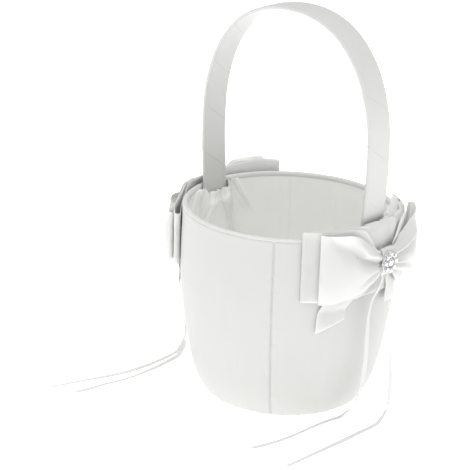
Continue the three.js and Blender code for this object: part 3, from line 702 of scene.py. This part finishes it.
# section of the wound strip: (out, across) with out pointing away from the arch's middle
def section(p, grow):
    """p from 0 to 1 round the section, starting at the middle of the outer face and going to +Y."""
    a, b = HW / 2 + grow, HT / 2 + grow          # half width, half thickness
    rc = min(b * 0.96, 1.15 + grow)
    flat_w, flat_t = 2 * (a - rc), 2 * (b - rc)
    arc = math.pi / 2 * rc
    per = 2 * flat_w + 2 * flat_t + 4 * arc
    d = (p % 1.0) * per
    out = np.zeros_like(d)
    acr = np.zeros_like(d)
    e = [flat_w / 2, arc, flat_t, arc, flat_w, arc, flat_t, arc, flat_w / 2]
    c = np.concatenate([[0], np.cumsum(e)])
    def seg(k):
        return (d >= c[k]) & (d <= c[k + 1] + 1e-9), d - c[k]
    m, l = seg(0); out[m] = b; acr[m] = l[m]
    m, l = seg(1); th = l / rc; out[m] = (b - rc + rc * np.cos(th))[m]; acr[m] = (a - rc + rc * np.sin(th))[m]
    m, l = seg(2); out[m] = (b - rc - l)[m]; acr[m] = a
    m, l = seg(3); th = l / rc; out[m] = (-(b - rc) - rc * np.sin(th))[m]; acr[m] = (a - rc + rc * np.cos(th))[m]
    m, l = seg(4); out[m] = -b; acr[m] = (a - rc - l)[m]
    m, l = seg(5); th = l / rc; out[m] = (-(b - rc) - rc * np.cos(th))[m]; acr[m] = (-(a - rc) - rc * np.sin(th))[m]
    m, l = seg(6); out[m] = (-(b - rc) + l)[m]; acr[m] = -a
    m, l = seg(7); th = l / rc; out[m] = (b - rc + rc * np.sin(th))[m]; acr[m] = (-(a - rc) - rc * np.cos(th))[m]
    m, l = seg(8); out[m] = b; acr[m] = (-(a - rc) + l)[m]
    return out, acr, per


WRAP_W = 38.0          # ribbon width
PITCH = 33.2
# where each lap's free edge crosses the middle of the outer face, from the left foot
LAPS = np.array([-54.0, -21.0, 12.0, 44.9, 77.8, 110.2, 142.0, 173.6, 205.2, 236.8, 268.4, 300.2, 333.6, 366.6, 399.6, 432.6, 465.6])


def lap_pos(q):
    """Place along the handle of turn coordinate q (0 at the first lap above the foot)."""
    k = np.arange(len(LAPS)) - 2.0
    fine = np.linspace(k[0], k[-1], 1600)
    f = np.interp(fine, k, LAPS)
    f = soften(f, 400)
    return np.interp(q, fine, f)


def wrap():
    per = section(np.zeros(1), -0.3)[2]
    cols = 64
    n_turn = 15.6
    nP = int(n_turn * cols) + 1
    P_t = np.linspace(-1.9, n_turn - 1.9, nP)            # turn coordinate of the winding
    b0 = WRAP_W * math.hypot(per, PITCH) / per / PITCH / 2   # half width as turns
    be = np.unique(np.concatenate([np.linspace(-b0, -b0 + 0.03, 5), np.linspace(-b0 + 0.03, b0 - 1.0, 12), np.linspace(b0 - 1.0, b0 - 0.05, 18), np.linspace(b0 - 0.05, b0, 3)]))
    T, B = np.meshgrid(P_t, be, indexing="ij")
    S = lap_pos(T + b0 + B)
    # each lap lies on the last one like a shingle, its free edge uppermost
    lift = 0.305 * (b0 - B) / (2 * b0)
    lift = lift + 0.07 * gauss(B + b0 - 0.012, 0.014) + 0.05 * gauss(B + b0 - 0.09, 0.06)
    lift = lift + 0.022 * np.sin(B * 17 + 1.7 * np.sin(T * 4.1)) + 0.02 * noise1(T * 9 + B * 5, 5, 3.0)
    out, acr, _ = section(T, -0.3)
    o2, a2, _ = section(T, 0.7)
    dout, dacr = (o2 - out), (a2 - acr)
    n = np.hypot(dout, dacr)
    out = out + dout / n * lift
    acr = acr + dacr / n * lift
    s_clip = np.clip(S, 0.6, hlen - 0.6)
    x, z, tx, tz = at_handle(s_clip)
    nx, nz = -tz, tx
    Pt = np.stack([x + nx * out, acr, z + nz * out], 2)
    keep = ((S > -1) & (S < hlen + 1)).any(1)
    lo, hi = np.where(keep)[0][[0, -1]]
    Pt, S2 = Pt[lo:hi + 1], S[lo:hi + 1]
    over_lo = np.minimum(S2 - 0.6, 0)
    over_hi = np.maximum(S2 - (hlen - 0.6), 0)
    Pt[..., 2] += over_lo * 0.012 + -over_hi * 0.012
    N = np.stack([nx * dout / n, dacr / n, nz * dout / n], 2)[lo:hi + 1]
    uv = np.stack([(T * math.hypot(per, PITCH))[lo:hi + 1], (B * PITCH)[lo:hi + 1]], 2)
    return Pt, N, uv, (P_t[hi] - P_t[lo])


Pw, Nw, uvw, turns = wrap()
hw = slab("handle_wrap_satin", Pw, 0.22, WRAP, uv=uvw, N=Nw)
fix_normals(hw)
put(hw, "satin_wrap", "handle_wrap")
wrap_len = turns * math.hypot(section(np.zeros(1), -0.3)[2], PITCH) / 1000

# ------------------------------------------------------------------ bows
KZ = 109.0


def pol(deg, r):
    return [r * math.cos(math.radians(deg)), r * math.sin(math.radians(deg))]


def plan(backX, frontX, back, fold, front):
    half = [[backX, -1.2]] + [pol(-a, r) for a, r in back] + [pol(-a, r) for a, r in fold] + [pol(-a, r) for a, r in front]
    other = [[x, -y] for x, y in half][::-1]
    return half + [[frontX, 0.0]] + other


UNDER = plan(71.9, 73.0, [(5, 71.8), (10, 71.8), (20, 71.8), (34, 71.8), (42, 71.9)], [(45.3, 72.0), (46, 72.5), (45.3, 73.05)], [(42, 73.1), (34, 73.2), (20, 73.3), (10, 73.2), (5, 73.1)])
UPPER = plan(76.4, 77.9, [(4.6, 76.5), (9, 76.1), (16, 75.9), (26, 75.9), (34, 76.0)], [(36.8, 76.5), (38, 78.3), (36.8, 80.4)], [(33, 82.4), (26, 83.4), (19, 83.2), (12, 81.2), (8, 79.5), (4.6, 78.2)])


def fall(x, pts):
    """Straight-line table through pts, for arrays."""
    p = np.asarray(pts, float)
    return np.interp(x, p[:, 0], p[:, 1])


def bow_grid(pts, nu):
    """Plan line of one looped ribbon and, at each point, its radius and its angle round the axis."""
    line = spline(pts, nu)
    rad = np.hypot(line[:, 0], line[:, 1])
    ang = np.degrees(np.arctan2(line[:, 1], line[:, 0]))
    return line, rad, ang


def under_ribbon(name, mirror):
    nu, nv = 320, 41
    line, rad, ang = bow_grid(UNDER, nu)
    v = np.linspace(0, 1, nv)
    ay = np.abs(line[:, 1])
    # 1 on the layer against the body, 0 on the layer facing out
    layer = soften(np.clip((72.5 - rad) / 0.4, 0, 1), 6)
    R, V = np.meshgrid(rad, v, indexing="ij")
    A, _ = np.meshgrid(np.radians(ang), v, indexing="ij")
    AY = np.broadcast_to(ay[:, None], R.shape)
    Z = KZ + 2.0 + (2 * V - 1) * 23.1
    Lr = np.broadcast_to(layer[:, None], R.shape)
    side = np.broadcast_to(np.sign(line[:, 1])[:, None], R.shape)
    # the outer layer is drawn in behind the knot and stands off towards its fold
    h = (1 - Lr) * ((0.6 if mirror else 1.3) * sstep(AY, 16, 30) * (1 - sstep(AY, 44, 51)) + 0.28 * np.cos(2 * math.pi * 1.4 * V + 0.4) * sstep(AY, 12, 22) * (1 - sstep(AY, 30, 48)))
    h = h + 0.20 * noise1(AY * 0.8 + V * 7, 31, 16.0) * sstep(AY, 14, 26) * (0.3 + 0.7 * (1 - Lr))
    R = R + h
    if mirror:
        R = R + (side < 0) * (1.9 * sstep(AY, 26, 42) * (1 - Lr) - 0.5 * sstep(AY, 18, 34) * Lr)
    if not mirror:
        h2 = (1 - Lr) * (side > 0) * 1.9 * sstep(V, 0.35, 0.7) * sstep(AY, 8, 13) * (1 - sstep(AY, 24, 36))
        R = R + h2
    # above the rim the middle lies back towards the handle
    R = R - 2.3 * sstep(Z, 129.4, 135.4) * (1 - sstep(AY, 10.5, 17))
    # above the rim the rear loop flops in over the edge
    lean = sstep(Z, 129.2, 136.5) * (side > 0) * sstep(AY, 11.5, 19)
    R = R - lean * ((8.5 * Lr + 4.6 * (1 - Lr)) * (1.0 + 0.10 * np.sin(AY * 0.55)) if not mirror else -(1.6 * Lr + 2.4 * (1 - Lr)))
    up = (side > 0) * V ** 3 * sstep(AY, 10, 40)
    Z = Z + up * (3.0 * Lr + 0.6 * (1 - Lr)) + 0.4 * np.sin(AY * 0.31 + 1.1) * V * sstep(AY, 8, 24)
    if mirror:
        Z = Z + np.where(side > 0, 0.6, -0.6) * sstep(AY, 9, 46)
        Z = Z - (side < 0) * 11.0 * sstep(AY, 16, 49) * V ** 1.6
    P = np.stack([R * np.cos(A), R * np.sin(A), Z], 2)
    if mirror:
        P[..., 0] *= -1
    s = np.concatenate([[0], np.cumsum(np.linalg.norm(np.diff(line, axis=0), axis=1))])
    uv = np.stack(np.meshgrid(s, v * 46.0, indexing="ij"), 2)
    ob = slab(name, P, 0.30, RIBBON, uv=uv)
    fix_normals(ob)
    return ob, float(s[-1])


def upper_ribbon(name, mirror, seed):
    nu, nv = 420, 97
    line, rad, ang = bow_grid(UPPER, nu)
    v = np.linspace(0, 1, nv)
    y = line[:, 1]
    ay = np.abs(y)
    idx = np.arange(nu)
    fold_lo, fold_hi = np.argmin(y), np.argmax(y)
    front = np.zeros(nu)
    front[fold_lo:fold_hi + 1] = 1
    front = soften(front, 60)
    # layer against the body: full height almost to the knot
    zt_b = fall(ay, [(0, 116.3), (6.8, 116.3), (9, 118.5), (13, 126), (18, 132.5), (22, 134), (60, 134)])
    zb_b = fall(ay, [(0, 101.8), (6.8, 101.8), (9, 100.5), (13, 95), (18, 90), (22, 88.4), (60, 88)])
    # layer facing out: gathered all the way from the fold
    zt_f = fall(ay, [(0, 116.4), (7, 117.0), (12, 119.8), (18, 124.0), (24, 127.6), (29, 130.6), (34, 133.2), (40, 134.0), (60, 134)])
    zb_f = fall(ay, [(0, 101.6), (7, 102.2), (12, 100.0), (18, 98.6), (24, 96.6), (32, 93.4), (41, 90.6), (48, 88.6), (60, 88)])
    zt = soften(zt_b * (1 - front) + zt_f * front, 12)
    zb = soften(zb_b * (1 - front) + zb_f * front, 12)
    R, V = np.meshgrid(rad, v, indexing="ij")
    A, _ = np.meshgrid(np.radians(ang), v, indexing="ij")
    AY = np.broadcast_to(ay[:, None], R.shape)
    SY = np.broadcast_to(y[:, None], R.shape)
    FR = np.broadcast_to(front[:, None], R.shape)
    # deep diagonal crease from the fold's top corner down to the knot
    vv = fall(AY, [(0, 0.5), (8, 0.50), (14, 0.53), (20, 0.57), (26, 0.61), (31, 0.69), (36, 0.77), (41, 0.86), (47, 0.965)])
    vv = vv + 0.012 * np.sin(SY * 0.35 + seed)
    d1 = fall(AY, [(0, 1.0), (7, 1.9), (12, 3.4), (18, 5.0), (24, 5.8), (29, 5.4), (34, 4.6), (39, 3.6), (44, 2.2), (49, 0)])
    w_lo = fall(AY, [(0, 0.10), (12, 0.10), (24, 0.11), (34, 0.13), (48, 0.14)])
    w_hi = fall(AY, [(0, 0.10), (12, 0.09), (24, 0.075), (30, 0.10), (36, 0.16), (48, 0.12)])
    x = V - vv
    crease = -d1 * np.where(x < 0, gauss(x, w_lo), gauss(x, w_hi))
    # full rounded pleat above the crease, with a blunt nose towards the fold
    d2 = fall(AY, [(0, 0.5), (7, 1.4), (12, 2.6), (18, 3.7), (23, 4.3), (27, 3.9), (30, 2.4), (33, 0.9), (37, 0.2), (42, 0)])
    ridge = d2 * gauss(x - fall(AY, [(0, 0.24), (12, 0.22), (22, 0.19), (30, 0.17), (40, 0.14)]), fall(AY, [(0, 0.13), (20, 0.115), (30, 0.10)]))
    tuck = -fall(AY, [(0, 0.6), (8, 1.2), (16, 2.4), (24, 3.2), (30, 2.6), (36, 1.3), (42, 0.3), (50, 0)]) * sstep(V, vv + 0.27, vv + 0.46)
    # main face: one broad swell below the crease, and a smaller pleat at its foot
    d3 = fall(AY, [(0, 0.4), (8, 1.0), (16, 1.7), (26, 1.9), (36, 1.2), (46, 0.2), (50, 0)])
    swell = d3 * gauss(V - vv * 0.55, vv * 0.36)
    vl = fall(AY, [(0, 0.2), (10, 0.19), (20, 0.17), (28, 0.14), (34, 0.1)])
    d4 = fall(AY, [(0, 0.5), (7, 1.2), (12, 2.0), (18, 2.3), (23, 1.6), (28, 0.6), (33, 0)])
    low = -d4 * gauss(V - vl, 0.055) + 0.4 * d4 * gauss(V - vl + 0.11, 0.05)
    fine = fall(AY, [(0, 0.5), (7, 0.42), (12, 0.22), (18, 0.08), (24, 0)]) * np.cos(2 * math.pi * 6.5 * V + 0.9 + 0.04 * SY)
    wav = 0.16 * noise1(SY * 0.7 + V * 9, 50 + seed, 15.0) * sstep(AY, 8, 20)
    swing = np.where(SY > 0, 0.9, 1.0)
    h = FR * ((crease + ridge + tuck + swell + low) * swing + fine + wav) + (1 - FR) * (0.4 * wav + 0.35 * np.cos(2 * math.pi * 1.5 * V) * sstep(AY, 8, 14) * (1 - sstep(AY, 14, 30)))
    if mirror:
        # the left front loop lies close and leans in at its top
        h = h - (SY < 0) * (2.2 * FR * V ** 2 * sstep(AY, 12, 28) * (1 - 0.5 * sstep(AY, 38, 47)))
    if not mirror:
        h = h + (1 - FR) * (SY > 0) * 1.2 * sstep(V, 0.6, 0.92) * sstep(AY, 8, 14) * (1 - sstep(AY, 28, 36))
        h = h - FR * (SY > 0) * 1.5 * sstep(V, 0.66, 0.97) * sstep(AY, 10, 17) * (1 - sstep(AY, 30, 40))
    # the outer layer never sinks through the layer behind it
    back_r = fall(AY, [(0, 76.9), (7, 76.9), (12, 76.6), (20, 76.35), (60, 76.3)]) + 0.55
    Rh = R + h
    gap = Rh - back_r
    soft = 0.5 * (gap + np.sqrt(gap * gap + 0.5))
    Rn = np.where(FR > 0.5, back_r + soft, Rh)
    mixw = sstep(FR, 0.35, 0.65)
    R = Rh * (1 - mixw) + Rn * mixw
    Z = zb[:, None] + (zt - zb)[:, None] * V
    # the open top edge rolls a little and the two loops aren't level
    Z = Z + 0.5 * np.sin(AY * 0.24 + 0.6 + seed) * V * sstep(AY, 14, 30)
    if mirror:
        Z = Z + np.where(SY > 0, 3.6, -1.6) * sstep(AY, 9, 48)
        Z = Z - (SY < 0) * 13.0 * sstep(AY, 16, 47) * V ** 1.4
    P = np.stack([R * np.cos(A), R * np.sin(A), Z], 2)
    if mirror:
        P[..., 0] *= -1
    s = np.concatenate([[0], np.cumsum(np.linalg.norm(np.diff(line, axis=0), axis=1))])
    uv = np.stack(np.meshgrid(s, v * 46.0, indexing="ij"), 2)
    ob = slab(name, P, 0.32, RIBBON, uv=uv)
    fix_normals(ob)
    return ob, float(s[-1])


def tail_ribbon(name, mirror):
    front_top = spline([[0, 115.5], [-6.6, 114], [-22, 105], [-38, 94], [-46.5, 82], [-48.3, 66]], 60)
    front_low = spline([[0, 102.6], [-6.8, 102.2], [-15, 95.5], [-23, 88], [-27, 82], [-28, 74]], 60)
    rear_top = spline([[0, 115.5], [6.6, 113], [13, 105], [17.5, 95], [19.5, 86], [20, 77.5]], 50)
    rear_low = spline([[0, 102.6], [6.6, 102.0], [7.6, 96], [7.0, 90], [6.4, 84], [6.0, 79]], 50)
    lo = np.vstack([front_low[::-1], rear_low[1:]])
    hi = np.vstack([front_top[::-1], rear_top[1:]])
    v = np.linspace(0, 1, 25)
    Q = lo[:, None, :] * (1 - v[None, :, None]) + hi[:, None, :] * v[None, :, None]
    S, Z = Q[..., 0], Q[..., 1]
    r = np.where(S > 0, 74.15, 71.6 + 2.55 * sstep(Z, 79.5, 87.0))
    r = r + 0.45 * np.sin(v[None, :] * math.pi * 2.4 + S * 0.05) * sstep(np.abs(S), 8, 24) * sstep(108 - Z, 0, 20) * np.where(S > 0, 1, sstep(Z, 74, 92))
    A = S / 74.0
    P = np.stack([r * np.cos(A), r * np.sin(A), Z], 2)
    if mirror:
        P[..., 0] *= -1
    ob = slab(name, P, 0.3, RIBBON)
    fix_normals(ob)
    return ob


def knot_band(name, mirror):
    # closed band round the gathered middle, with soft creases along it
    n, m = 72, 17
    a = np.linspace(0, 2 * math.pi, n, endpoint=False)
    b = np.linspace(-1, 1, m)
    A, B = np.meshgrid(a, b, indexing="ij")
    cx, hx, hz = 76.95, 2.15, 8.55
    c, s = np.cos(A), np.sin(A)
    pw = 0.55
    ex = np.sign(c) * np.abs(c) ** pw * hx
    ez = np.sign(s) * np.abs(s) ** pw * hz
    crease = 0.22 * np.sin(B * 8.0 + 0.6 * np.sin(A * 2)) + 0.25 * (1 - B * B) - 0.12
    k = 1 + crease / 9.0
    P = np.stack([cx + ex * k, B * 6.2 * (1 - 0.10 * np.abs(s)), KZ + ez * k], 2)
    if mirror:
        P[..., 0] *= -1
    N = grid_normals(P, closed_u=True)
    ref = P - np.array([(-cx if mirror else cx), 0, KZ])
    if (N[0, m // 2] * ref[0, m // 2]).sum() < 0:
        N = -N
    ob = slab(name, P, 0.4, RIBBON, N=N, closed_u=True, uv=np.stack([A * 8, B * 6.2], 2))
    fix_normals(ob)
    return ob


# ---- cut stone and its setting
OX, OT = 79.4, 2.0
SPOTS = [(0.0, 0.0, 2.6)] + [(5.4 * math.cos(2 * math.pi * k / 8), 5.4 * math.sin(2 * math.pi * k / 8), 1.85) for k in range(8)]


def stone(name, y, z, r, mirror, turn):
    """Round brilliant: table, star and kite facets, girdle, pavilion."""
    x0 = OX + 1.15
    g0 = x0 + 0.85
    g1 = g0 + 0.16
    th = 0.36 * r
    V, F = [], []
    def ring(rad, x, n, off):
        st = len(V)
        for i in range(n):
            a = 2 * math.pi * (i + off) / n + turn
            V.append([x, y + rad * math.cos(a), KZ + z + rad * math.sin(a)])
        return list(range(st, st + n))
    cul = len(V); V.append([x0, y, KZ + z])
    pv = ring(r * 0.52, x0 + 0.42, 8, 0.5)
    lowg = ring(r - 0.08, g0, 16, 0)
    upg = ring(r - 0.08, g1, 16, 0)
    mid = ring(r * 0.80, g1 + th * 0.52, 8, 0.5)
    tab = ring(r * 0.56, g1 + th, 8, 0)
    top = tab[:]
    for i in range(8):
        j = (i + 1) % 8
        F.append([cul, pv[i], pv[j]][::-1])
        F.append([pv[i], lowg[(2 * i) % 16], lowg[(2 * i + 1) % 16]])
        F.append([pv[i], lowg[(2 * i + 1) % 16], lowg[(2 * i + 2) % 16]])
        F.append([pv[i], lowg[(2 * i + 2) % 16], pv[j]])
        # crown
        F.append([upg[2 * i], upg[2 * i + 1], mid[i]])
        F.append([upg[2 * i + 1], upg[(2 * i + 2) % 16], mid[i]])
        F.append([upg[2 * i], mid[i], tab[i], mid[i - 1]])
        F.append([mid[i], tab[(i + 1) % 8], tab[i]])
    for i in range(16):
        j = (i + 1) % 16
        F.append([lowg[i], lowg[j], upg[j], upg[i]])
    F.append(top)
    V = np.array(V)
    if mirror:
        V[:, 0] *= -1
    ob = make(name, V, F, None, STONE, smooth=False)
    fix_normals(ob)
    return ob


def setting(name, mirror):
    """Scalloped silver plate with a cup and claws round each stone: four on the small stones, six on the centre one."""
    V, F = [], []
    n = 144
    a = np.linspace(0, 2 * math.pi, n, endpoint=False)
    edge = 7.15 + 0.42 * np.cos(8 * a)
    rows = [(0.0, OX), (0.55, OX), (0.965, OX), (1.0, OX + 0.18), (1.0, OX + 0.62), (0.955, OX + 0.82), (0.55, OX + 0.86), (0.0, OX + 0.86)]
    idx = []
    for f, x in rows:
        if f == 0.0:
            V.append([x, 0, KZ])
            idx.append([len(V) - 1])
        else:
            st = len(V)
            for i in range(n):
                V.append([x, edge[i] * f * math.cos(a[i]), KZ + edge[i] * f * math.sin(a[i])])
            idx.append(list(range(st, st + n)))
    for p, q in zip(idx[:-1], idx[1:]):
        for i in range(n):
            j = (i + 1) % n
            if len(p) == 1:
                F.append([p[0], q[j], q[i]])
            elif len(q) == 1:
                F.append([p[i], p[j], q[0]])
            else:
                F.append([p[i], p[j], q[j], q[i]])
    V = [list(v) for v in V]
    # cups
    def lathe(y, z, prof2, m):
        st = len(V)
        k = len(prof2)
        for i in range(m):
            t = 2 * math.pi * i / m
            for rr, xx in prof2:
                V.append([xx, y + rr * math.cos(t), KZ + z + rr * math.sin(t)])
        for i in range(m):
            j = (i + 1) % m
            for c in range(k):
                d = (c + 1) % k
                F.append([st + i * k + c, st + i * k + d, st + j * k + d, st + j * k + c])
    for y, z, r in SPOTS:
        lathe(y, z, [(r - 0.35, OX + 0.80), (r + 0.12, OX + 0.80), (r + 0.20, OX + 1.5), (r + 0.08, OX + 1.86), (r - 0.02, OX + 1.86), (r - 0.04, OX + 1.4)], 28)
        cl = 4 if r < 2 else 6
        off = math.atan2(z, y) + math.pi / 4 if r < 2 else math.pi / 6
        for c in range(cl):
            t = off + 2 * math.pi * c / cl
            py, pz = y + (r + 0.02) * math.cos(t), z + (r + 0.02) * math.sin(t)
            st = len(V)
            # small rounded claw: a ball-ended peg leaning on the stone
            levels = [(0.26, OX + 0.85, 0.16), (0.27, OX + 1.6, 0.10), (0.25, OX + 2.1, 0.0), (0.20, OX + 2.34, -0.12), (0.09, OX + 2.46, -0.18)]
            for rr, xx, lean in levels:
                for i in range(8):
                    u = 2 * math.pi * i / 8
                    V.append([xx, py + lean * math.cos(t) + rr * math.cos(u), KZ + pz + lean * math.sin(t) + rr * math.sin(u)])
            L = len(levels)
            for q in range(L - 1):
                for i in range(8):
                    j = (i + 1) % 8
                    F.append([st + q * 8 + i, st + q * 8 + j, st + q * 8 + 8 + j, st + q * 8 + 8 + i])
            F.append([st + i for i in range(8)][::-1])
            F.append([st + (L - 1) * 8 + i for i in range(8)])
    V = np.array(V)
    if mirror:
        V[:, 0] *= -1
    ob = make(name, V, F, None, SILVER)
    fix_normals(ob)
    return ob


for side in ("right", "left"):
    mir = side == "left"
    ob, L = under_ribbon(f"bow_under_ribbon_{side}_satin", mir)
    put(ob, "satin_ribbon", f"bow_under_ribbon_{side}")
    ob, L = upper_ribbon(f"bow_upper_ribbon_{side}_satin", mir, 0.7 * mir)
    put(ob, "satin_ribbon", f"bow_upper_ribbon_{side}")
    ob = tail_ribbon(f"bow_tail_ribbon_{side}_satin", mir)
    put(ob, "satin_ribbon", f"bow_tail_ribbon_{side}")
    ob = knot_band(f"bow_knot_{side}_satin", mir)
    put(ob, "satin_ribbon", f"bow_knot_{side}")
    ob = setting(f"stone_setting_{side}_silver", mir)
    put(ob, "silver_setting", f"stone_setting_{side}")
    for k, (y, z, r) in enumerate(SPOTS):
        tag = "centre" if k == 0 else str(k)
        ob = stone(f"stone_{side}_{tag}_cut", y, z, r, mir, 0.21 * k)
        put(ob, "clear_stone", f"stone_{side}_{tag}")

# ------------------------------------------------------------------ CAD pieces that stay, with better materials
for n, m in (("base_disc", CARD), ("moulded_bucket", PLASTIC), ("foam_wrap", FOAM), ("handle_core", PLASTIC)):
    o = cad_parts[n]
    o.data.materials.clear()
    o.data.materials.append(m)
for n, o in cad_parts.items():
    if n.startswith("handle_rivet"):
        o.data.materials.clear()
        o.data.materials.append(STEEL)

# ------------------------------------------------------------------ stage and light
fm, nt, bs = new_mat("floor_mat")
bs.inputs["Base Color"].default_value = (0.92, 0.92, 0.92, 1)
bs.inputs["Roughness"].default_value = 0.9
bs.inputs["Specular IOR Level"].default_value = 0.1
bs.inputs["Emission Color"].default_value = (1, 1, 1, 1)
bs.inputs["Emission Strength"].default_value = 0.74
me = bpy.data.meshes.new("floor")
me.from_pydata([(-30, -30, 0), (30, -30, 0), (30, 30, 0), (-30, 30, 0)], [], [(0, 1, 2, 3)])
fl = bpy.data.objects.new("floor", me)
fl.location.z = -0.0002
me.materials.append(fm)
sc.collection.objects.link(fl)

w = bpy.data.worlds.new("world")
sc.world = w
w.use_nodes = True
w.node_tree.nodes["Background"].inputs[0].default_value = (1, 1, 1, 1)
w.node_tree.nodes["Background"].inputs[1].default_value = 0.69
# the studio is a little darker on the right
wt = w.node_tree
wc = wt.nodes.new("ShaderNodeTexCoord")
wx = wt.nodes.new("ShaderNodeSeparateXYZ")
wr = wt.nodes.new("ShaderNodeMapRange")
for k, v in (("From Min", -1.0), ("From Max", 1.0), ("To Min", 0.69), ("To Max", 0.645)):
    wr.inputs[k].default_value = v
wt.links.new(wc.outputs["Generated"], wx.inputs[0])
wt.links.new(wx.outputs["X"], wr.inputs["Value"])
wt.links.new(wr.outputs[0], wt.nodes["Background"].inputs[1])


def sun(name, azimuth, elevation, strength, angle):
    d = bpy.data.lights.new(name, "SUN")
    d.energy = strength
    d.angle = math.radians(angle)
    o = bpy.data.objects.new(name, d)
    a, e = math.radians(azimuth), math.radians(elevation)
    v = Vector((math.cos(a) * math.cos(e), math.sin(a) * math.cos(e), math.sin(e)))
    o.rotation_euler = v.to_track_quat("Z", "Y").to_euler()
    sc.collection.objects.link(o)


sun("key", -140, 34, 0.10, 60)
sun("top", 100, 82, 1.02, 70)
sun("fill", -68, 48, 0.48, 60)
sc.view_settings.view_transform = "Standard"
sc.view_settings.look = "None"
sc.view_settings.exposure = 0.0
sc.view_settings.gamma = 1.0
